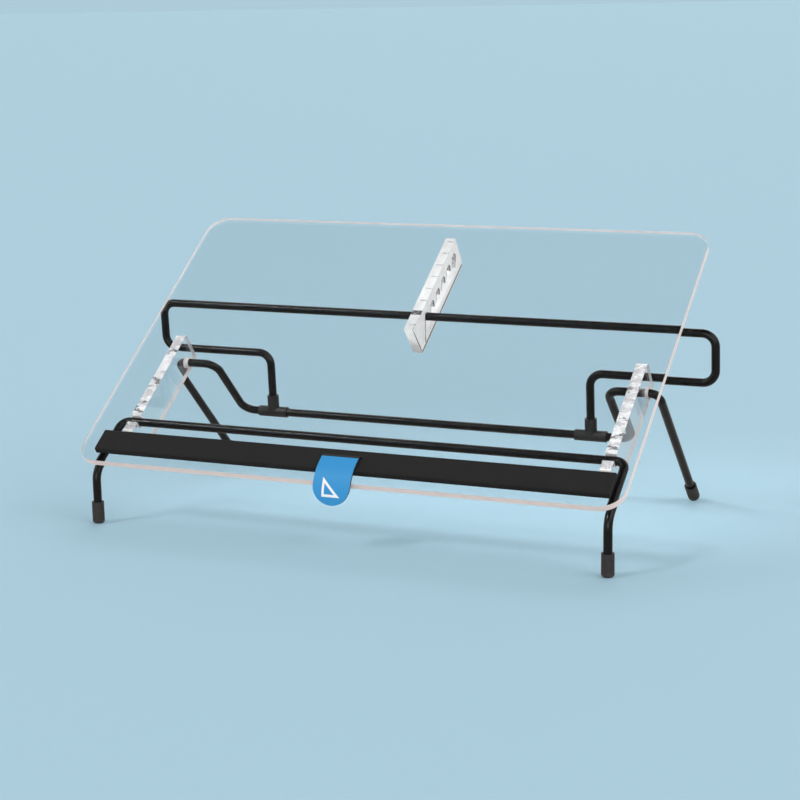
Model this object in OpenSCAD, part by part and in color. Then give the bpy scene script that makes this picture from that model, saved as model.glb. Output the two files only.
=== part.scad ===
// Portable drawing board: a clear sheet on a bent-rod stand. Two side plates and a
// notched rack are bonded under the sheet. The front rod and the rear rod turn in the
// plates, and a rod loop on the rear rod stands in one of the rack's six seats.
//
// Units are millimetres. z = 0 is the table, +Y runs towards the raised back edge, and
// the stand is mirrored about x = 0. Points written (u, n) lie in the sheet's own frame:
// u runs up the slope from the front edge, n is the height above the writing face.

/* [Sheet] */
// Width of the clear sheet across X
sheet_width = 520; // [480:1:540]
// Length of the clear sheet up its slope
sheet_length = 336.5; // [325:0.5:360]
// Thickness of the clear sheet
sheet_thickness = 6; // [5:0.5:7]
// Radius of the sheet's four corners
sheet_corner_r = 21; // [5:1:40]
// Offset of the sheet's middle from the middle of the stand
sheet_offset_x = -5.8; // [-8:0.1:8]
// Slope of the sheet above the table
tilt = 34.64; // [30:0.02:38]
// Height of the writing face's front edge above the table
front_edge_z = 58.9; // [54:0.1:64]

/* [Rods] */
// Diameter of every bent rod
rod_d = 7.7; // [6:0.1:8]
// Centre-line radius of the ordinary bends
bend_r = 12; // [8:0.5:14]
// Centre-line radius of the bend from a front arm down to its leg
leg_bend_r = 16; // [8:0.5:18]
// Radial clearance of a rod that turns in a hole
turn_clearance = 0.06; // [0.02:0.01:0.1]

/* [Side plates] */
// Thickness of a side plate
plate_thickness = 10; // [8:0.5:12]
// Distance from the stand's middle to the middle of a side plate
plate_x = 229.5; // [220:0.5:231]
// Slope position of a plate's front end
plate_front_u = 40; // [34:0.5:46]
// Slope position of a plate's rear end
plate_rear_u = 170; // [168:0.5:185]
// Depth of a plate below the sheet
plate_depth = 32.5; // [31:0.5:40]
// Corner radius of a plate
plate_corner_r = 4; // [1:0.5:5]

/* [Front rod] */
// Slope position of the front rod's turning axis
front_axis_u = 57; // [50:0.5:70]
// Gap between the front rod and the sheet's underside
front_rod_gap = 0.4; // [0.3:0.05:0.8]
// Distance from the stand's middle to each leg's centre line
leg_x = 243.3; // [242.5:0.1:245]
// Slope position where each front arm starts to bend down to its leg
front_bend_u = 3.9; // [2:0.1:8]

/* [Rear rod] */
// Slope position of the rear rod's turning axis
rear_axis_u = 157; // [152:0.5:160]
// Height of the rear rod's turning axis in the sheet's frame
rear_axis_n = -31.5; // [-32.5:0.1:-30]
// Angle of the rear legs below the table's plane
rear_leg_angle = 45; // [42:0.5:48]
// Distance from the turning axis to the rear crossbar
rear_crossbar_drop = 77.5; // [70:0.5:85]
// Distance from the stand's middle to the rear rod's inner slopes
slope_x = 196.1; // [190:0.1:200]

/* [Support loop] */
// Distance from the stand's middle to the loop's inner uprights
loop_inner_x = 163.5; // [150:0.5:165]
// Distance from the stand's middle to the loop's outer uprights
loop_outer_x = 279.8; // [276:0.1:290]
// Distance from the rear crossbar to the loop's lower bars
loop_low_h = 58.9; // [50:0.1:65]
// Distance from the rear crossbar to the loop's top bar
loop_top_h = 103.9; // [100:0.1:108]

/* [Notched rack] */
// Thickness of the rack across X
rack_thickness = 10; // [8:0.5:12]
// Slope position of the rack's front end
rack_front_u = 193; // [185:0.5:200]
// Slope position of the rack's rear end
rack_rear_u = 320; // [318:0.5:328]
// Depth of the rack below the sheet
rack_depth = 33.5; // [32:0.5:38]
// Number of seats for the loop's top bar
seat_count = 6; // [2:1:6]
// Distance from one seat to the next
seat_pitch = 16.5; // [14:0.1:16.5]
// Gap between the top bar and its seat
seat_gap = 0.3; // [0.2:0.05:0.5]
// Thickness of the rack's bottom rail
rail_thickness = 8; // [5:0.5:12.5]

/* [Tee connectors] */
// Length of the sleeve round the rear crossbar
tee_sleeve_length = 30; // [24:0.5:36]
// Diameter of the sleeve
tee_sleeve_d = 10.4; // [9.8:0.1:12]
// Diameter of the socket that holds an end of the loop
tee_socket_d = 11.2; // [10:0.1:13]
// Height of the socket's mouth above the crossbar's axis
tee_socket_h = 16.5; // [12:0.5:20]

/* [Foot caps] */
// Outside diameter of a foot cap
cap_d = 11.1; // [10:0.1:14]
// Height of a foot cap
cap_h = 20; // [15:0.5:25]
// Thickness of rubber under the end of the rod
cap_floor = 3; // [2:0.5:5]
// Radius of the rounding round a cap's base
cap_round_r = 2.5; // [0.5:0.1:3]

/* [Ledge] */
// Length of the ledge strip across X
ledge_length = 489; // [400:1:500]
// Offset of the ledge's middle from the middle of the stand
ledge_offset_x = -1.4; // [-5:0.1:5]
// Slope position of the ledge's front face
ledge_front_u = 9.5; // [8:0.1:14]
// Width of the ledge up the slope
ledge_width = 24.4; // [22:0.1:28]
// Thickness of the ledge
ledge_thickness = 5.5; // [4:0.1:8]
// Radius of the ledge's long top edges
ledge_edge_r = 1.5; // [0.5:0.1:2]

/* [Tab] */
// Width of the tab
tab_width = 35; // [24:0.5:38]
// Offset of the tab's middle from the middle of the stand
tab_offset_x = -2.2; // [-20:0.1:20]
// Slope position of the slit that the tab comes out of
slit_u = 24.6; // [22:0.1:26]
// Width of the slit along the slope
slit_gap = 2.4; // [2.2:0.1:3]
// Slope position where the tab starts to curl down
curl_u = 15; // [14:0.1:16]
// Radius of the curl on the tab's inner side
curl_r = 33; // [31:0.5:40]
// Angle through which the tab curls down
curl_angle = 65; // [50:1:68]
// Thickness of the black backing
backing_thickness = 1.6; // [0.8:0.1:1.8]
// Distance from the slit to the start of the blue face
label_setback = 2; // [0:0.1:4]
// Thickness of the blue face
label_thickness = 0.3; // [0.2:0.05:0.4]

/* [Hidden] */
$fn = 64;

rod_r = rod_d / 2;
turn_r = rod_r + turn_clearance;
sheet_under_n = -sheet_thickness;
over = 1;

// The tab lies a little above the ledge and stands in its slit down to the writing face.
// Its curl has its centre in the (u, n) plane
tab_lift = 0.4;
tab_under_n = ledge_thickness + tab_lift;
curl_centre_n = tab_under_n - curl_r;
label_r = curl_r + backing_thickness + label_thickness;

// Middle of the object's depth, so that y = 0 lies halfway between front and back
rack_slant = 4;
rack_nose = 5.5;
rack_bottom_n = sheet_under_n - rack_depth;
front_y = curl_u * cos(tilt) - curl_centre_n * sin(tilt)
        - label_r * sin(min(curl_angle, 90 - tilt) + tilt);
back_y = max(sheet_length * cos(tilt) + sheet_thickness * sin(tilt),
             rack_rear_u * cos(tilt) - (rack_bottom_n + rack_nose) * sin(tilt));
middle_y = (front_y + back_y) / 2;

// Turning axes and rod ends in the part's frame
front_axis_n = sheet_under_n - front_rod_gap - rod_r;
front_axis = slope_point(0, front_axis_u, front_axis_n);
rear_axis = slope_point(0, rear_axis_u, rear_axis_n);
leg_down = [0, cos(rear_leg_angle), -sin(rear_leg_angle)];
crossbar = rear_axis + rear_crossbar_drop * leg_down;

// A cap on a leaning leg stands on its rounded rim, so the leg's length allows for it
rim_r = cap_d / 2 - cap_round_r;
rim_drop = rim_r * cos(rear_leg_angle) + cap_round_r * (1 - sin(rear_leg_angle));
rear_leg_length = (rear_axis[2] - rim_drop) / sin(rear_leg_angle);
rear_foot = rear_axis + rear_leg_length * leg_down;

// Side bends that turn a crossbar into an arm or leg just outside its plate
plate_out_x = plate_x + plate_thickness / 2;
side_bend_r = leg_x - plate_out_x - turn_clearance;

// The linkage: the top bar's first seat and its path along the rack, in the (u, n) plane
first_seat_u = 224.5;
seat_n = -18.7;
hinge_un = [rear_axis_u, rear_axis_n];
crossbar_angle = -rear_leg_angle - tilt;
first_crossbar_un = hinge_un + rear_crossbar_drop * polar(crossbar_angle);
loop_lean = angle_of([first_seat_u, seat_n] - first_crossbar_un);
last_seat_un = [first_seat_u + (seat_count - 1) * seat_pitch, seat_n];
leg_turn = crossbar_angle_for(last_seat_un) - crossbar_angle;
loop_turn = angle_of(last_seat_un - hinge_un
          - rear_crossbar_drop * polar(crossbar_angle + leg_turn)) - loop_lean;
path_steps = 16;

function polar(a) = [cos(a), sin(a)];
function angle_of(v) = atan2(v[1], v[0]);
function crossbar_angle_for(bar) =
    let (d = bar - hinge_un, r = norm(d))
    angle_of(d) - acos((r^2 + rear_crossbar_drop^2 - loop_top_h^2)
                       / (2 * r * rear_crossbar_drop));
function bar_path(t) =
    hinge_un + rear_crossbar_drop * polar(crossbar_angle + t * leg_turn)
    + loop_top_h * polar(loop_lean + t * loop_turn);
function slope_point(x, u, n) =
    [x, u * cos(tilt) - n * sin(tilt) - middle_y,
     front_edge_z + u * sin(tilt) + n * cos(tilt)];
function mirrored(path) =
    [for (p = path) p, for (i = [len(path) - 1:-1:0]) [-path[i][0], path[i][1]]];
function unit(v) = v / norm(v);

module on_slope() {
    translate([0, -middle_y, front_edge_z])
        rotate([tilt, 0, 0])
            children();
}

// Turns a (u, n) outline into a plate across X, with its middle at x
module slope_plate(x, thickness) {
    on_slope()
        translate([x - thickness / 2, 0, 0])
            rotate([90, 0, 90])
                linear_extrude(thickness)
                    children();
}

// Rod with its centre line in the local XY plane: straights, with a bend at each corner
module rod_straight(start, along, length) {
    translate(start)
        rotate([0, 0, angle_of(along)])
            rotate([0, 90, 0])
                cylinder(h = length, r = rod_r);
}

module rod_bend(corner, along, away, radius) {
    turn = acos(along * away);
    side = sign(cross(along, away));
    left = [-along[1], along[0]];
    translate(corner - along * radius * tan(turn / 2) + side * radius * left)
        rotate([0, 0, angle_of(along) - (side > 0 ? 90 : turn - 90)])
            rotate_extrude(angle = turn)
                translate([radius, 0])
                    circle(r = rod_r);
}

module bent_rod(path, radii) {
    last = len(path) - 1;
    dirs = [for (i = [0:last - 1]) unit(path[i + 1] - path[i])];
    // Distance from each corner to where its bend starts
    trims = [for (i = [0:last]) i == 0 || i == last ? 0
             : radii[i] * tan(acos(dirs[i - 1] * dirs[i]) / 2)];
    for (i = [0:last - 1])
        rod_straight(path[i] + dirs[i] * trims[i], dirs[i],
                     norm(path[i + 1] - path[i]) - trims[i] - trims[i + 1]);
    for (i = [1:last - 1])
        rod_bend(path[i], dirs[i - 1], dirs[i], radii[i]);
}

module rounded_outline(low, high, r) {
    translate(low + [r, r])
        round_rect(high - low, r);
}

// Rectangle with round corners, from two bars and four discs
module round_rect(size, r) {
    inner = size - [2 * r, 2 * r];
    translate([-r, 0])
        square([size[0], inner[1]]);
    translate([0, -r])
        square([inner[0], size[1]]);
    for (x = [0, inner[0]], y = [0, inner[1]])
        translate([x, y])
            circle(r = r);
}

module sheet() {
    half = sheet_width / 2;
    color([0.85, 0.93, 0.95, 0.35])
        on_slope()
            translate([0, 0, sheet_under_n])
                linear_extrude(sheet_thickness)
                    rounded_outline([sheet_offset_x - half, 0],
                                    [sheet_offset_x + half, sheet_length], sheet_corner_r);
}

module side_plate(x) {
    slope_plate(x, plate_thickness)
        difference() {
            rounded_outline([plate_front_u, sheet_under_n - plate_depth],
                            [plate_rear_u, sheet_under_n], plate_corner_r);
            translate([rear_axis_u, rear_axis_n])
                circle(r = turn_r);
            // Slot for the front rod, closed by the sheet
            translate([front_axis_u, front_axis_n])
                circle(r = turn_r);
            translate([front_axis_u - turn_r, front_axis_n])
                square([2 * turn_r, sheet_thickness + over]);
        }
}

module plate_left() {
    color([0.9, 0.93, 0.94, 0.5])
        side_plate(-plate_x);
}

module plate_right() {
    color([0.9, 0.93, 0.94, 0.5])
        side_plate(plate_x);
}

window_bottom_n = rack_bottom_n + rail_thickness;
window_front_u = first_seat_u - 8;

// Window for the top bar: its path with room above, the free channel below, and the seats
module rack_window() {
    room = rod_r + seat_gap;
    last_u = bar_path(1)[0];
    upper = [for (i = [0:path_steps]) bar_path(i / path_steps) + [0, room]];
    polygon(concat([[window_front_u, window_bottom_n], [window_front_u, upper[0][1]]], upper,
                   [[last_u + room, upper[path_steps][1] - room],
                    [last_u + room, window_bottom_n]]));
    for (i = [0:seat_count - 1])
        translate([first_seat_u + i * seat_pitch, seat_n])
            circle(r = room);
}

module notch_rack() {
    color([0.92, 0.91, 0.9])
        slope_plate(0, rack_thickness)
            difference() {
                polygon([[rack_front_u, sheet_under_n], [rack_front_u + rack_slant, rack_bottom_n],
                         [rack_rear_u - rack_slant, rack_bottom_n],
                         [rack_rear_u, rack_bottom_n + rack_nose], [rack_rear_u, sheet_under_n]]);
                rack_window();
            }
}

// The front rod's U lies along the sheet's underside, and its legs bend down to the table
knee_turn = 90 - tilt;
knee_trim = leg_bend_r * tan(knee_turn / 2);
knee = slope_point(leg_x, front_bend_u - knee_trim, front_axis_n);
front_foot = [knee[0], knee[1], 0];
leg_length = knee[2] - knee_trim - cap_floor;

// Hairline groove between a bend and its leg, bridged by a slightly slimmer core
groove = 0.05;
core_step = 0.02;
core_reach = 0.5;

// Bend and leg at one end of the U
module front_leg(x) {
    translate([x, front_bend_u, -leg_bend_r])
        rotate([90, 0, 90])
            rotate([0, 0, 90]) {
                rotate_extrude(angle = knee_turn)
                    translate([leg_bend_r, 0])
                        circle(r = rod_r);
                rotate([0, 0, knee_turn])
                    translate([leg_bend_r, 0, 0])
                        rotate([-90, 0, 0]) {
                            translate([0, 0, groove])
                                cylinder(h = leg_length - groove, r = rod_r);
                            translate([0, 0, -core_reach])
                                cylinder(h = 2 * core_reach, r = rod_r - core_step);
                        }
            }
}

module front_leg_rod() {
    color([0.07, 0.07, 0.07])
        on_slope()
            translate([0, 0, front_axis_n]) {
                bent_rod(mirrored([[leg_x, front_bend_u], [leg_x, front_axis_u]]),
                         [0, side_bend_r, side_bend_r, 0]);
                front_leg(-leg_x);
                front_leg(leg_x);
            }
}

module rear_leg_rod() {
    color([0.07, 0.07, 0.07])
        translate(rear_axis)
            rotate([-rear_leg_angle, 0, 0])
                bent_rod(mirrored([[leg_x, rear_leg_length - cap_floor], [leg_x, 0], [slope_x, 0],
                                   [slope_x, rear_crossbar_drop]]),
                         [0, side_bend_r, bend_r, bend_r, bend_r, bend_r, side_bend_r, 0]);
}

loop_end_h = tee_sleeve_d / 2;

module support_loop_rod() {
    color([0.07, 0.07, 0.07])
        translate(crossbar)
            rotate([loop_lean + tilt, 0, 0])
                bent_rod(mirrored([[loop_inner_x, loop_end_h], [loop_inner_x, loop_low_h],
                                   [loop_outer_x, loop_low_h], [loop_outer_x, loop_top_h]]),
                         [0, bend_r, bend_r, bend_r, bend_r, bend_r, bend_r, 0]);
}

// Sleeve round the crossbar with a socket for an end of the loop
module tee(x) {
    color([0.1, 0.1, 0.1])
        translate(crossbar + [x, 0, 0])
            rotate([loop_lean + tilt - 90, 0, 0])
                difference() {
                    union() {
                        translate([-tee_sleeve_length / 2, 0, 0])
                            rotate([0, 90, 0])
                                cylinder(h = tee_sleeve_length, d = tee_sleeve_d);
                        cylinder(h = tee_socket_h, d = tee_socket_d);
                    }
                    translate([-tee_sleeve_length / 2 - over, 0, 0])
                        rotate([0, 90, 0])
                            cylinder(h = tee_sleeve_length + 2 * over, r = turn_r);
                    translate([0, 0, loop_end_h])
                        cylinder(h = tee_socket_h, r = rod_r);
                }
}

module tee_left() {
    tee(-loop_inner_x);
}

module tee_right() {
    tee(loop_inner_x);
}

// Cup-shaped cap whose base stands at the origin, with its axis along +Z
cap_mouth = 0.8;

module foot_cap() {
    color([0.16, 0.16, 0.16])
        rotate_extrude()
            difference() {
                union() {
                    square([rim_r, cap_h]);
                    translate([0, cap_round_r])
                        square([cap_d / 2, cap_h - cap_round_r]);
                    intersection() {
                        translate([rim_r, cap_round_r])
                            circle(r = cap_round_r);
                        square([cap_d, cap_h]);
                    }
                }
                translate([0, cap_floor])
                    square([rod_r, cap_h]);
                translate([0, cap_h - cap_mouth])
                    polygon([[0, 0], [rod_r, 0], [rod_r + cap_mouth, cap_mouth + over],
                             [0, cap_mouth + over]]);
            }
}

module front_cap(side) {
    translate([side * front_foot[0], front_foot[1], 0])
        foot_cap();
}

module rear_cap(side) {
    translate(rear_foot + [side * leg_x, 0, 0])
        rotate([90 - rear_leg_angle, 0, 0])
            foot_cap();
}

module cap_front_left() {
    front_cap(-1);
}

module cap_front_right() {
    front_cap(1);
}

module cap_rear_left() {
    rear_cap(-1);
}

module cap_rear_right() {
    rear_cap(1);
}

// Ledge strip with rounded long top edges and the slit for the tab
module ledge_profile() {
    back_u = ledge_front_u + ledge_width;
    translate([ledge_front_u, 0])
        square([ledge_width, ledge_thickness - ledge_edge_r]);
    translate([ledge_front_u + ledge_edge_r, 0])
        square([ledge_width - 2 * ledge_edge_r, ledge_thickness]);
    for (u = [ledge_front_u + ledge_edge_r, back_u - ledge_edge_r])
        translate([u, ledge_thickness - ledge_edge_r])
            circle(r = ledge_edge_r);
}

slit_margin = 2;

module ledge_strip() {
    color([0.13, 0.13, 0.13])
        difference() {
            slope_plate(ledge_offset_x, ledge_length)
                ledge_profile();
            on_slope()
                translate([tab_offset_x - tab_width / 2 - slit_margin, slit_u - slit_gap / 2,
                           -over])
                    cube([tab_width + 2 * slit_margin, slit_gap, ledge_thickness + 2 * over]);
        }
}

// A layer of the tab between two curl radii: down the slit, flat on the ledge, then curled
module tab_layer(inner_r, outer_r, rear_u, slit_depth) {
    thickness = outer_r - inner_r;
    low_n = curl_centre_n + inner_r;
    translate([curl_u, low_n])
        square([rear_u - curl_u, thickness]);
    if (slit_depth > 0)
        translate([slit_u - thickness / 2, low_n + thickness - slit_depth])
            square([thickness, slit_depth]);
    translate([curl_u, curl_centre_n])
        intersection() {
            difference() {
                circle(r = outer_r, $fn = 180);
                circle(r = inner_r, $fn = 180);
            }
            polygon([[0, 0], [0, 2 * outer_r], [-2 * outer_r, 2 * outer_r],
                     2 * outer_r * polar(90 + curl_angle)]);
        }
}

// Half-round end of the tab, cut square to the curl at the middle of the rounding
module tab_outline() {
    round_r = tab_width / 2;
    end_angle = curl_angle - round_r / curl_r * 90 / PI;
    reach = curl_r * sin(curl_angle - end_angle);
    on_slope()
        translate([tab_offset_x, curl_u, curl_centre_n])
            rotate([end_angle, 0, 0])
                translate([0, round_r - reach, -over]) {
                    cylinder(h = 2 * curl_r, r = round_r);
                    translate([-round_r, 0, 0])
                        cube([tab_width, 2 * curl_r, 2 * curl_r]);
                }
}

module tab_layer_cut(inner_r, outer_r, rear_u, slit_depth) {
    intersection() {
        slope_plate(tab_offset_x, tab_width)
            tab_layer(inner_r, outer_r, rear_u, slit_depth);
        tab_outline();
    }
}

module tab_backing() {
    color([0.08, 0.08, 0.08])
        tab_layer_cut(curl_r, curl_r + backing_thickness, slit_u, tab_under_n + backing_thickness);
}

module tab_label() {
    color([0.16, 0.52, 0.78])
        tab_layer_cut(curl_r + backing_thickness, label_r, slit_u - label_setback, 0);
}

sheet();
notch_rack();
plate_left();
plate_right();
front_leg_rod();
rear_leg_rod();
support_loop_rod();
tee_left();
tee_right();
cap_front_left();
cap_front_right();
cap_rear_left();
cap_rear_right();
ledge_strip();
tab_backing();
tab_label();
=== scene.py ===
"""Looks of the portable drawing board: clear acrylic on a stand of bent black rod."""
import math

import bpy
from mathutils import Matrix, Vector


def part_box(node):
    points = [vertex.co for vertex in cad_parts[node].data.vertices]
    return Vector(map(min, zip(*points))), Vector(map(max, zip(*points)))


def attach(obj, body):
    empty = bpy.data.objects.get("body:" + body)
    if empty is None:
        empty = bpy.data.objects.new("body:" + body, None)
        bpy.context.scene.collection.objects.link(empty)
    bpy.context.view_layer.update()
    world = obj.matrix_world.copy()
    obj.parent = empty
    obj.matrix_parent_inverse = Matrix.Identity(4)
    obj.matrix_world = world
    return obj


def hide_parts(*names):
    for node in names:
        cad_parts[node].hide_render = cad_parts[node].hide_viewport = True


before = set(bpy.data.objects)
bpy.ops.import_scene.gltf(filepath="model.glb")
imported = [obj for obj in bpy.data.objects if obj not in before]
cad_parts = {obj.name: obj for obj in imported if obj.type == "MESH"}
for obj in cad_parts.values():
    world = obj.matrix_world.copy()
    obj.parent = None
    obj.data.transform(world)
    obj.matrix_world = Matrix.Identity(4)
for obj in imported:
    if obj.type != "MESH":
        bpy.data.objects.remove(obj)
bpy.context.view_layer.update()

MM = 0.001
TILT = math.radians(34.64)  # slope of the sheet

# ---------------------------------------------------------------- the sheet's own frame
# u runs up the slope and n stands square to the writing face. The front edge of the
# writing face is the origin of both, found from the sheet's box.
sheet_low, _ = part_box("sheet")
SHEET_T = 6 * MM
FRONT_EDGE = Vector((0, sheet_low.y, sheet_low.z + SHEET_T * math.cos(TILT)))
UP_SLOPE = Vector((0, math.cos(TILT), math.sin(TILT)))
SIDEWAYS = Vector((1, 0, 0))
OUT_OF_FACE = Vector((0, -math.sin(TILT), math.cos(TILT)))


def slope_point(x, u, n):
    """A point at (u, n) in the sheet's frame, at x across it."""
    return FRONT_EDGE + x * SIDEWAYS + u * UP_SLOPE + n * OUT_OF_FACE


# ---------------------------------------------------------------- node helpers
class Tree:
    """The node tree of a material or of the world, with short ways to add maths."""

    def __init__(self, owner):
        self.owner = owner
        owner.use_nodes = True
        self.nodes = owner.node_tree.nodes
        self.links = owner.node_tree.links
        self.nodes.clear()

    def add(self, kind, **settings):
        node = self.nodes.new(kind)
        for key, value in settings.items():
            setattr(node, key, value)
        return node

    def feed(self, socket, value):
        if isinstance(value, bpy.types.NodeSocket):
            self.links.new(value, socket)
        else:
            socket.default_value = value

    def math(self, operation, *values):
        node = self.add("ShaderNodeMath", operation=operation)
        for socket, value in zip(node.inputs, values):
            self.feed(socket, value)
        return node.outputs[0]

    def product(self, first, *others):
        for other in others:
            first = self.math("MULTIPLY", first, other)
        return first

    def most(self, first, *others):
        for other in others:
            first = self.math("MAXIMUM", first, other)
        return first

    def inverse(self, value):
        return self.math("SUBTRACT", 1.0, value)

    def dot(self, vector, direction):
        node = self.add("ShaderNodeVectorMath", operation="DOT_PRODUCT")
        self.feed(node.inputs[0], vector)
        self.feed(node.inputs[1], tuple(direction))
        return node.outputs["Value"]

    def ramp(self, value, low, high, start=0.0, end=1.0):
        """start below low, end above high, and a smooth change between."""
        node = self.add("ShaderNodeMapRange", interpolation_type="SMOOTHSTEP")
        for socket, v in zip(node.inputs, (value, low, high, start, end)):
            self.feed(socket, v)
        return node.outputs["Result"]

    def band(self, value, middle, half, soft):
        """1 within half of the middle, 0 outside, with soft edges."""
        away = self.math("ABSOLUTE", self.math("SUBTRACT", value, middle))
        return self.ramp(away, half, half + soft, 1.0, 0.0)

    def mix(self, factor, a, b):
        node = self.add("ShaderNodeMix", data_type="RGBA")
        self.feed(node.inputs["Factor"], factor)
        self.feed(node.inputs[6], a)
        self.feed(node.inputs[7], b)
        return node.outputs[2]

    def noise(self, scale, detail=2.0, roughness=0.5, stretch=(1, 1, 1)):
        """Noise in object space; scale is in features per metre."""
        mapping = self.add("ShaderNodeMapping")
        mapping.inputs["Scale"].default_value = stretch
        self.feed(mapping.inputs["Vector"], self.place())
        node = self.add("ShaderNodeTexNoise")
        self.feed(node.inputs["Vector"], mapping.outputs["Vector"])
        node.inputs["Scale"].default_value = scale
        node.inputs["Detail"].default_value = detail
        node.inputs["Roughness"].default_value = roughness
        return node.outputs["Fac"]

    def place(self):
        return self.add("ShaderNodeTexCoord").outputs["Object"]

    def facing(self, direction):
        """How far the surface faces along a direction of the object, -1 to 1."""
        return self.dot(self.add("ShaderNodeTexCoord").outputs["Normal"], direction)

    def faces(self, direction, low=0.5, high=0.8):
        """1 where the surface faces along a direction, either way, and 0 where it is edge on."""
        return self.ramp(self.math("ABSOLUTE", self.facing(direction)), low, high)

    def slope_u(self):
        return self.math("SUBTRACT", self.dot(self.place(), UP_SLOPE), FRONT_EDGE.dot(UP_SLOPE))

    def slope_n(self):
        return self.math("SUBTRACT", self.dot(self.place(), OUT_OF_FACE),
                         FRONT_EDGE.dot(OUT_OF_FACE))

    def across(self):
        return self.dot(self.place(), SIDEWAYS)

    def bump(self, height, strength, distance):
        node = self.add("ShaderNodeBump")
        node.inputs["Strength"].default_value = strength
        node.inputs["Distance"].default_value = distance
        self.feed(node.inputs["Height"], height)
        return node.outputs["Normal"]

    def principled(self, **inputs):
        node = self.add("ShaderNodeBsdfPrincipled")
        for key, value in inputs.items():
            self.feed(node.inputs[key.replace("_", " ")], value)
        return node.outputs["BSDF"]

    def finish(self, shader):
        self.links.new(shader, self.add("ShaderNodeOutputMaterial").inputs["Surface"])
        return self.owner

    def finish_clear(self, shader, tint):
        """As finish, and lamps shine through the surface."""
        through = self.add("ShaderNodeBsdfTransparent")
        self.feed(through.inputs["Color"], tint)
        switch = self.add("ShaderNodeMixShader")
        self.links.new(self.add("ShaderNodeLightPath").outputs["Is Shadow Ray"],
                       switch.inputs["Fac"])
        self.links.new(shader, switch.inputs[1])
        self.links.new(through.outputs["BSDF"], switch.inputs[2])
        return self.finish(switch.outputs["Shader"])


def new_material(name):
    return Tree(bpy.data.materials.new(name))


def srgb(r, g, b):
    """Linear colour from display values of 0 to 255."""
    def one(v):
        v /= 255
        return v / 12.92 if v <= 0.04045 else ((v + 0.055) / 1.055) ** 2.4
    return (one(r), one(g), one(b), 1.0)


# ---------------------------------------------------------------- materials
ACRYLIC_IOR = 1.49
CLEAR = (0.985, 0.995, 1.0, 1.0)
# What a lamp's light becomes in passing through one surface
THROUGH_SHEET = (0.97, 0.985, 0.99, 1.0)
THROUGH_PLATE = (0.9, 0.93, 0.94, 1.0)
THROUGH_RACK = (0.7, 0.7, 0.71, 1.0)


def sheet_acrylic():
    """Clear faces, and a cut edge polished to a pale translucent line."""
    t = new_material("sheet_acrylic")
    edge = t.inverse(t.faces(OUT_OF_FACE))
    saw_lines = t.noise(900, detail=3, stretch=(1, 1, 6))
    edge_colour = t.mix(saw_lines, srgb(246, 232, 229), srgb(255, 246, 244))
    return t.finish_clear(t.principled(
        Base_Color=t.mix(edge, CLEAR, edge_colour),
        Roughness=t.product(edge, 0.35),
        IOR=ACRYLIC_IOR,
        Transmission_Weight=t.inverse(t.product(edge, 0.88)),
    ), THROUGH_SHEET)


# The side plates' two holes, in the sheet's frame, and the painted highlight ring round each
REAR_HOLE = (157 * MM, -31.5 * MM)
FRONT_HOLE = (57 * MM, -10.25 * MM)
HOLE_R = 3.91 * MM
RIM_HIGHLIGHT_WIDTH = 1.5 * MM


def hole_rim_highlights(t):
    """1 on a ring round each hole of a side plate, where a highlight is painted."""
    outer = HOLE_R + RIM_HIGHLIGHT_WIDTH
    rings = []
    for hole_u, hole_n in (REAR_HOLE, FRONT_HOLE):
        du = t.math("SUBTRACT", t.slope_u(), hole_u)
        dn = t.math("SUBTRACT", t.slope_n(), hole_n)
        away = t.math("SQRT", t.math("ADD", t.product(du, du), t.product(dn, dn)))
        rings.append(t.ramp(away, outer, outer + 0.4 * MM, 1.0, 0.0))
    return t.most(*rings)


def plate_acrylic():
    """Clear side faces, pale polished edges, a streaky bonded strip and a painted white
    highlight ring round each hole.
    """
    t = new_material("plate_acrylic")
    on_edge = t.inverse(t.faces(SIDEWAYS))
    top = t.ramp(t.slope_n(), -SHEET_T - 0.6 * MM, -SHEET_T - 0.2 * MM)
    # The pale, milky ring round each hole is a painted highlight
    rim_highlights = hole_rim_highlights(t)
    # The glue is thin in places and lets what is below show dark through it
    streaks = t.noise(150, detail=5, roughness=0.65, stretch=(0.5, 1, 1))
    filled = t.ramp(streaks, 0.40, 0.56, 0.35, 1.0)
    gaps = t.ramp(t.noise(110, detail=5, roughness=0.7, stretch=(0.6, 1, 1)), 0.57, 0.61)
    bond = t.mix(t.ramp(streaks, 0.3, 0.6), srgb(205, 202, 203), srgb(252, 250, 250))
    bond = t.mix(t.product(gaps, 0.9), bond, srgb(40, 40, 42))
    edge_colour = t.mix(t.noise(700), srgb(218, 204, 202), srgb(242, 234, 232))
    pale = t.most(on_edge, top, rim_highlights)
    milky = t.most(t.product(top, filled, 0.95), t.product(on_edge, 0.6), t.product(rim_highlights, 0.9))
    return t.finish_clear(t.principled(
        Base_Color=t.mix(pale, CLEAR, t.mix(top, edge_colour, bond)),
        Roughness=t.product(pale, 0.22),
        IOR=ACRYLIC_IOR,
        Transmission_Weight=t.inverse(milky),
        Normal=t.bump(t.product(streaks, top), 0.5, 0.5 * MM),
    ), THROUGH_PLATE)


# The rack's outline, its seats and the channel under them, in the sheet's frame
RACK_T = 10 * MM
RACK_FRONT_U = 193 * MM
RACK_REAR_U = 320 * MM
RACK_BOTTOM_N = -39.5 * MM
RACK_SLANT = 4 * MM
RACK_NOSE = 5.5 * MM
FIRST_SEAT_U = 224.5 * MM
SEAT_PITCH = 16.5 * MM
SEAT_N = -18.7 * MM
SEAT_COUNT = 6
SLOT_R = 4.15 * MM
CHANNEL_LOW_N = -31.5 * MM
CHANNEL_HIGH_N = -23.3 * MM
LEVEL_PITCH = SEAT_PITCH * math.cos(TILT)
SEATS_HALF = (SEAT_COUNT - 1) / 2  # pitches from the first seat to the middle of the row

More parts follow.
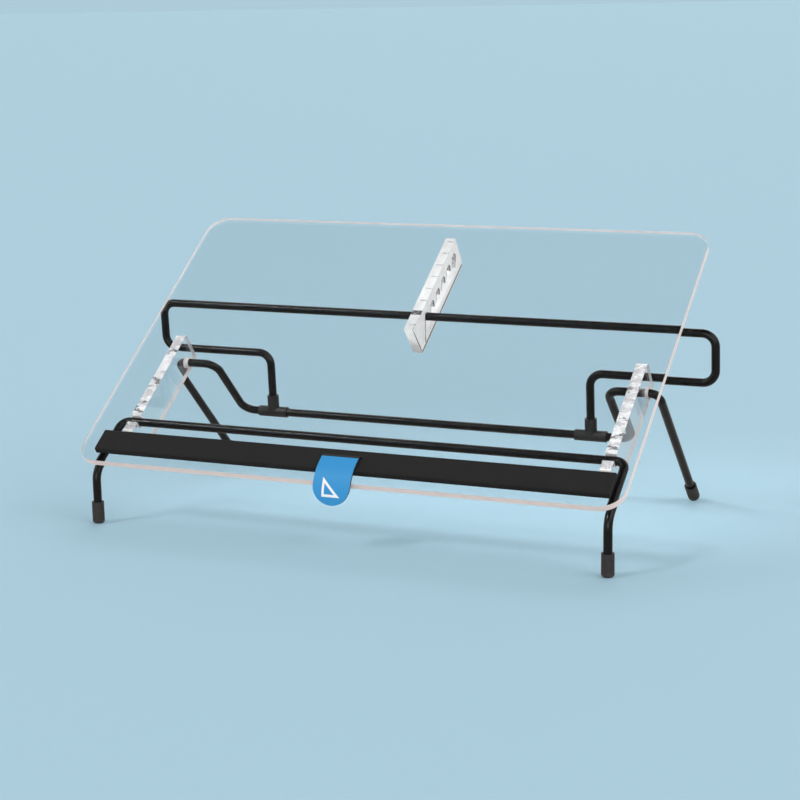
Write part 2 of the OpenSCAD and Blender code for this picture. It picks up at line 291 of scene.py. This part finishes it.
# Middle and half height, along n, of the shade painted where the notches show on the rack
WALL_SHADE_SPAN = (-21 * MM, 8 * MM)
STROKE_SHADE_SPAN = (-22 * MM, 6.5 * MM)
FIRST_STROKE_SHADE_SPAN = (-24 * MM, 11 * MM)


def notch_wall_shade(t):
    """Painted shade, in streaks, on the upright walls of the notches."""
    middle_u = FIRST_SEAT_U + SEATS_HALF * SEAT_PITCH
    inside = t.product(t.band(t.slope_n(), *WALL_SHADE_SPAN, 1 * MM),
                       t.band(t.slope_u(), middle_u, 56 * MM, 1 * MM))
    streaks = t.ramp(t.noise(700, detail=4), 0.38, 0.62, 0.25, 1.0)
    return t.product(t.faces((0, 1, 0), 0.6, 0.9), inside, streaks, 0.75)


def side_notch_shade(t):
    """Upright strokes of painted shade on the sides, where the front wall of each notch shows
    through. The first is long and whole, and the others are broken."""
    n = t.slope_n()
    first_wall_y = slope_point(0, FIRST_SEAT_U, SEAT_N).y - SLOT_R - 0.5 * MM
    back = t.math("SUBTRACT", t.dot(t.place(), (0, 1, 0)), first_wall_y)
    phase = t.math("FRACT", t.math("ADD", t.math("DIVIDE", back, LEVEL_PITCH), 0.5))
    each = t.band(phase, 0.5, 0.7 * MM / LEVEL_PITCH, 0.3 * MM / LEVEL_PITCH)
    reach = t.product(t.band(n, *STROKE_SHADE_SPAN, 1 * MM),
                      t.band(back, SEATS_HALF * LEVEL_PITCH, (SEATS_HALF + 0.1) * LEVEL_PITCH,
                             0.1 * LEVEL_PITCH))
    broken = t.product(each, reach, t.ramp(t.noise(420, detail=3), 0.38, 0.48))
    whole = t.product(t.band(back, 0, 0.8 * MM, 0.4 * MM), t.band(n, *FIRST_STROKE_SHADE_SPAN, 1 * MM))
    return t.product(t.faces(SIDEWAYS), t.most(broken, whole), 0.9)


def edge_shade_lines(t):
    """Painted dark lines along the lower edge of the sides and at the front corner, where these
    edges show shade.
    """
    lower = t.product(t.faces(SIDEWAYS),
                      t.band(t.slope_n(), RACK_BOTTOM_N + 2.2 * MM, 1.0 * MM, 0.4 * MM))
    corner = t.product(t.ramp(t.facing(-UP_SLOPE), 0.6, 0.9),
                       t.ramp(t.across(), RACK_T / 2 - 1.5 * MM, RACK_T / 2 - 1.0 * MM))
    return t.product(t.most(lower, corner), 0.9)


def top_notch_shade(t):
    """Faint broken bars of painted shade where the notches show through the bonded top."""
    from_first = t.math("SUBTRACT", t.slope_u(), FIRST_SEAT_U)
    phase = t.math("FRACT", t.math("DIVIDE", from_first, SEAT_PITCH))
    return t.product(t.band(phase, 0.5, 0.03, 0.04), bonded_top(t),
                     t.ramp(t.across(), -2.5 * MM, -1.5 * MM),
                     t.ramp(t.noise(900, detail=3), 0.42, 0.62, 0.0, 0.75))


def first_seat_shade(t):
    """A patch of painted shade on the bonded top over the first seat."""
    return t.product(t.band(t.slope_u(), FIRST_SEAT_U - 8.5 * MM, 2.6 * MM, 0.6 * MM),
                     bonded_top(t), t.ramp(t.noise(600, detail=3), 0.34, 0.42), 0.9)


def bonded_top(t):
    return t.ramp(t.slope_n(), -SHEET_T - 1.0 * MM, -SHEET_T - 0.5 * MM)


def rack_acrylic():
    """Milky acrylic, with painted shade where its notches and edges show."""
    t = new_material("rack_acrylic")
    cloud = t.noise(160, detail=5, roughness=0.6)
    colour = t.mix(t.ramp(cloud, 0.3, 0.7), srgb(244, 242, 241), srgb(255, 254, 253))
    # Each mask paints a grey shade over the milky colour
    for mask, shade in ((notch_wall_shade(t), srgb(104, 101, 105)),
                        (side_notch_shade(t), srgb(52, 50, 54)),
                        (edge_shade_lines(t), srgb(88, 82, 88)),
                        (top_notch_shade(t), srgb(84, 81, 86)),
                        (first_seat_shade(t), srgb(44, 42, 45))):
        colour = t.mix(mask, colour, shade)
    return t.finish_clear(t.principled(
        Base_Color=colour,
        Roughness=0.12,
        IOR=ACRYLIC_IOR,
        Transmission_Weight=0.12,
    ), THROUGH_RACK)


def slot_outline():
    """(u, n) points round the rack's notches and the channel that joins them.

    The notches stand upright above the table, so they lean against the slope.
    """
    rise = Vector((math.sin(TILT), math.cos(TILT)))  # straight up from the table
    aside = Vector((math.cos(TILT), -math.sin(TILT)))  # level, towards the back
    steps = 10
    points = []
    for i in range(SEAT_COUNT):
        seat = Vector((FIRST_SEAT_U + i * SEAT_PITCH, SEAT_N))
        front, back = seat - SLOT_R * aside, seat + SLOT_R * aside
        front_low = CHANNEL_LOW_N if i == 0 else CHANNEL_HIGH_N
        back_low = CHANNEL_LOW_N if i == SEAT_COUNT - 1 else CHANNEL_HIGH_N
        points.append(front - rise * (front.y - front_low) / rise.y)
        for k in range(steps + 1):
            a = math.pi * (1 - k / steps)
            points.append(seat + SLOT_R * (math.cos(a) * aside + math.sin(a) * rise))
        points.append(back - rise * (back.y - back_low) / rise.y)
    return points


def cut_plate(name, outlines, middle_x, thickness, polish):
    """A plate on edge under the sheet, cut to (u, n) outlines, with fine bevelled edges."""
    curve = bpy.data.curves.new(name, "CURVE")
    curve.dimensions = "2D"
    curve.fill_mode = "BOTH"
    curve.extrude = thickness / 2 - polish
    curve.bevel_depth = polish
    curve.bevel_resolution = 2
    curve.offset = -polish
    for outline in outlines:
        spline = curve.splines.new("POLY")
        spline.points.add(len(outline) - 1)
        for point, (u, n) in zip(spline.points, outline):
            point.co = (u, n, 0, 1)
        spline.use_cyclic_u = True
    shape = bpy.data.objects.new(name + "_shape", curve)
    bpy.context.scene.collection.objects.link(shape)
    bpy.context.view_layer.update()
    solid = shape.evaluated_get(bpy.context.evaluated_depsgraph_get())
    mesh = bpy.data.meshes.new_from_object(solid)
    bpy.data.objects.remove(shape)
    bpy.data.curves.remove(curve)
    turn = Matrix((UP_SLOPE, OUT_OF_FACE, SIDEWAYS)).transposed().to_4x4()
    mesh.transform(Matrix.Translation(slope_point(middle_x, 0, 0)) @ turn)
    mesh.materials.clear()
    plate = bpy.data.objects.new(name, mesh)
    bpy.context.scene.collection.objects.link(plate)
    weld = plate.modifiers.new("weld", "WELD")
    weld.merge_threshold = 0.01 * MM
    return plate


def notched_rack():
    """The rack with its notches, in place of the CAD rack's open window."""
    outline = [(RACK_FRONT_U, -SHEET_T), (RACK_FRONT_U + RACK_SLANT, RACK_BOTTOM_N),
               (RACK_REAR_U - RACK_SLANT, RACK_BOTTOM_N),
               (RACK_REAR_U, RACK_BOTTOM_N + RACK_NOSE), (RACK_REAR_U, -SHEET_T)]
    rack = cut_plate("rack_comb", [outline, slot_outline()], 0, RACK_T, 0.3 * MM)
    rack.data.materials.append(rack_acrylic())
    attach(rack, "board")
    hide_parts("notch_rack")


def rod_paint():
    """Black satin paint over steel rod, with faint dust."""
    t = new_material("rod_paint")
    dust = t.ramp(t.noise(2600, detail=2), 0.70, 0.78)
    return t.finish(t.principled(
        Base_Color=t.mix(t.product(dust, 0.04), srgb(8, 7, 7), srgb(150, 148, 146)),
        Roughness=t.ramp(t.noise(300, detail=3), 0.3, 0.7, 0.21, 0.23),
        Specular_IOR_Level=0.25,
    ))


def tee_plastic():
    """Moulded black plastic with a slightly rough skin."""
    t = new_material("tee_plastic")
    speck = t.ramp(t.noise(1500, detail=4, roughness=0.7), 0.60, 0.72)
    return t.finish(t.principled(
        Base_Color=t.mix(t.product(speck, 0.25), srgb(11, 10, 10), srgb(118, 115, 114)),
        Roughness=t.ramp(t.noise(800), 0.3, 0.7, 0.42, 0.58),
        Normal=t.bump(t.noise(1600, detail=4), 0.35, 0.12 * MM),
    ))


def cap_rubber():
    """Matt black rubber, a little worn and grey round the base."""
    t = new_material("cap_rubber")
    height = t.dot(t.place(), (0, 0, 1))
    scuff = t.product(t.ramp(height, 0.5 * MM, 5 * MM, 1.0, 0.0),
                      t.ramp(t.noise(700, detail=4), 0.4, 0.65))
    return t.finish(t.principled(
        Base_Color=t.mix(scuff, srgb(38, 35, 34), srgb(70, 67, 65)),
        Roughness=t.ramp(t.noise(500), 0.3, 0.7, 0.55, 0.7),
        Normal=t.bump(t.noise(1800, detail=3), 0.25, 0.1 * MM),
    ))


def ledge_rubber():
    """Matt black sheet rubber with a fine open grain."""
    t = new_material("ledge_rubber")
    grain = t.noise(1700, detail=4, roughness=0.65)
    tone = t.noise(45, detail=3)
    colour = t.mix(tone, srgb(22, 21, 21), srgb(30, 28, 28))
    fleck = t.ramp(grain, 0.66, 0.74)
    return t.finish(t.principled(
        Base_Color=t.mix(t.product(fleck, 0.35), colour, srgb(95, 94, 94)),
        Roughness=0.82,
        Specular_IOR_Level=0.3,
        Normal=t.bump(grain, 0.45, 0.18 * MM),
    ))


def tab_rubber():
    """The tab's black backing, of the same kind of rubber as the ledge."""
    t = new_material("tab_rubber")
    grain = t.noise(1700, detail=4, roughness=0.65)
    return t.finish(t.principled(
        Base_Color=t.mix(grain, srgb(24, 24, 25), srgb(40, 40, 41)),
        Roughness=0.75,
        Normal=t.bump(grain, 0.35, 0.12 * MM),
    ))


# The tab's curl and a plain set-square outline printed on it
CURL_U = 15 * MM
CURL_N = -27.1 * MM
LABEL_R = 34.9 * MM
TAB_X = -2.2 * MM
MARK_DOWN = 23 * MM  # from the start of the curl to the mark's middle
MARK_LEG = 8.5 * MM  # half the length of the set-square's two short sides
MARK_LINE = 2.1 * MM


def tab_blue():
    """Blue printed face with a fine weave and a white set-square outline."""
    t = new_material("tab_blue")
    back = t.math("SUBTRACT", CURL_U, t.slope_u())
    rise = t.math("SUBTRACT", t.slope_n(), CURL_N)
    down = t.product(t.math("ARCTAN2", back, rise), LABEL_R)
    x = t.math("SUBTRACT", t.across(), TAB_X)
    y = t.math("SUBTRACT", MARK_DOWN, down)
    left = t.math("ADD", x, MARK_LEG)
    base = t.math("ADD", y, MARK_LEG)
    slant = t.product(t.math("ADD", x, y), -math.sqrt(0.5))
    inside = t.math("MINIMUM", t.math("MINIMUM", left, base), slant)
    outline = t.band(inside, MARK_LINE / 2, MARK_LINE / 2, 0.12 * MM)
    weave = t.noise(2200, detail=3, roughness=0.6)
    blue = t.mix(weave, srgb(38, 134, 196), srgb(58, 158, 218))
    return t.finish(t.principled(
        Base_Color=t.mix(outline, blue, srgb(240, 243, 246)),
        Roughness=0.5,
        Specular_IOR_Level=0.35,
        Normal=t.bump(weave, 0.3, 0.08 * MM),
    ))


def dress(material, *nodes):
    """Gives CAD nodes one material."""
    for name in nodes:
        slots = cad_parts[name].data.materials
        slots.clear()
        slots.append(material)


dress(sheet_acrylic(), "sheet")
dress(plate_acrylic(), "plate_left", "plate_right")
notched_rack()
dress(rod_paint(), "front_leg_rod", "rear_leg_rod", "support_loop_rod")
dress(tee_plastic(), "tee_left", "tee_right")
dress(cap_rubber(), "cap_front_left", "cap_front_right", "cap_rear_left", "cap_rear_right")
dress(ledge_rubber(), "ledge_strip")
dress(tab_rubber(), "tab_backing")
dress(tab_blue(), "tab_label")


# ---------------------------------------------------------------- stage and light
FLOOR_REACH = 300.0
FLOOR_COLOUR = (0.40, 0.60, 0.71, 1.0)
FLOOR_BOUNCE = (0.56, 0.55, 0.55, 1.0)
HORIZON_COLOUR = (0.424, 0.600, 0.697, 1.0)
SKY_COLOUR = (1.0, 0.985, 0.975, 1.0)
SKY_LIGHT = 0.9
CEILING_LIGHT = 0.02
FRONT_SHARE = 0.5
FRONT = (0.3, -0.95, 0)

# Name, direction towards it, strength, and how many degrees wide it looks
SUNS = [
    ("key", (0.75, -0.12, 0.62), 0.95, 50),
    ("sparkle", (-0.5, -0.5, 0.7), 0.6, 11),
    ("fill", (-0.75, -0.35, 0.55), 0.25, 60),
    ("front", (0.25, -0.95, 0.14), 1.3, 50),
    ("back", (-0.10, 0.80, 0.58), 0.75, 50),
]


def wide_floor():
    """A plain floor that reaches almost to the horizon. The light it throws back on the
    object is neutral, so that blacks and whites stay clean."""
    mesh = bpy.data.meshes.new("floor")
    corners = [(FLOOR_REACH * x, FLOOR_REACH * y, 0)
               for x, y in ((-1, -1), (1, -1), (1, 1), (-1, 1))]
    mesh.from_pydata(corners, [], [(0, 1, 2, 3)])
    floor = bpy.data.objects.new("floor", mesh)
    bpy.context.scene.collection.objects.link(floor)
    t = new_material("floor")
    thrown_back = t.add("ShaderNodeLightPath").outputs["Is Reflection Ray"]
    mesh.materials.append(t.finish(t.principled(
        Base_Color=t.mix(thrown_back, FLOOR_COLOUR, FLOOR_BOUNCE),
        Roughness=0.9, Specular_IOR_Level=0.1)))


def soft_sun(name, toward, strength, spread):
    """An even light from one direction, as from a very large softbox a long way off."""
    lamp = bpy.data.lights.new(name, "SUN")
    lamp.energy = strength
    lamp.angle = math.radians(spread)
    obj = bpy.data.objects.new(name, lamp)
    obj.rotation_euler = (-Vector(toward)).to_track_quat("-Z", "Y").to_euler()
    bpy.context.scene.collection.objects.link(obj)


def light_studio():
    """Soft light from all round, and a smaller light for highlights on the rods. The ceiling
    is dim, and the horizon has the floor's own colour, so that the two run into each other."""
    world = bpy.data.worlds.new("studio")
    bpy.context.scene.world = world
    t = Tree(world)
    ray = t.add("ShaderNodeTexCoord").outputs["Generated"]
    height = t.dot(ray, (0, 0, 1))
    above = t.add("ShaderNodeEmission")
    above.inputs["Color"].default_value = SKY_COLOUR
    t.feed(above.inputs["Strength"], t.product(
        t.ramp(height, 0.70, 0.84, SKY_LIGHT, CEILING_LIGHT),
        t.ramp(t.dot(ray, FRONT), -0.1, 0.6, 1.0, FRONT_SHARE)))
    horizon = t.add("ShaderNodeEmission")
    horizon.inputs["Color"].default_value = HORIZON_COLOUR
    blend = t.add("ShaderNodeMixShader")
    t.feed(blend.inputs["Fac"], t.ramp(height, 0.06, 0.16))
    t.feed(blend.inputs[1], horizon.outputs[0])
    t.feed(blend.inputs[2], above.outputs[0])
    t.feed(t.add("ShaderNodeOutputWorld").inputs["Surface"], blend.outputs[0])
    for name, toward, strength, spread in SUNS:
        soft_sun(name, toward, strength, spread)
    bpy.context.scene.view_settings.view_transform = "Standard"


# ---------------------------------------------------------------- camera
CAMERA_PLACE = Vector((0.70327, -1.57803, 0.45994))
CAMERA_AZIMUTH = math.radians(24.01)
CAMERA_ELEVATION = math.radians(11.63)
CAMERA_ROLL = math.radians(-1.03)
SENSOR_WIDTH = 36.0
LENS = 86.48


def place_camera():
    """A camera turned by its azimuth, elevation and roll."""
    a, e, r = CAMERA_AZIMUTH, CAMERA_ELEVATION, CAMERA_ROLL
    ahead = Vector((-math.sin(a) * math.cos(e), math.cos(a) * math.cos(e), -math.sin(e)))
    level = Vector((math.cos(a), math.sin(a), 0))
    upright = level.cross(ahead)
    right = math.cos(r) * level + math.sin(r) * upright
    up = -math.sin(r) * level + math.cos(r) * upright
    data = bpy.data.cameras.new("camera")
    data.sensor_width = SENSOR_WIDTH
    data.lens = LENS
    data.clip_end = 1000
    camera = bpy.data.objects.new("camera", data)
    turn = Matrix((right, up, -ahead)).transposed().to_4x4()
    camera.matrix_world = Matrix.Translation(CAMERA_PLACE) @ turn
    bpy.context.scene.collection.objects.link(camera)
    bpy.context.scene.camera = camera


wide_floor()
light_studio()
place_camera()
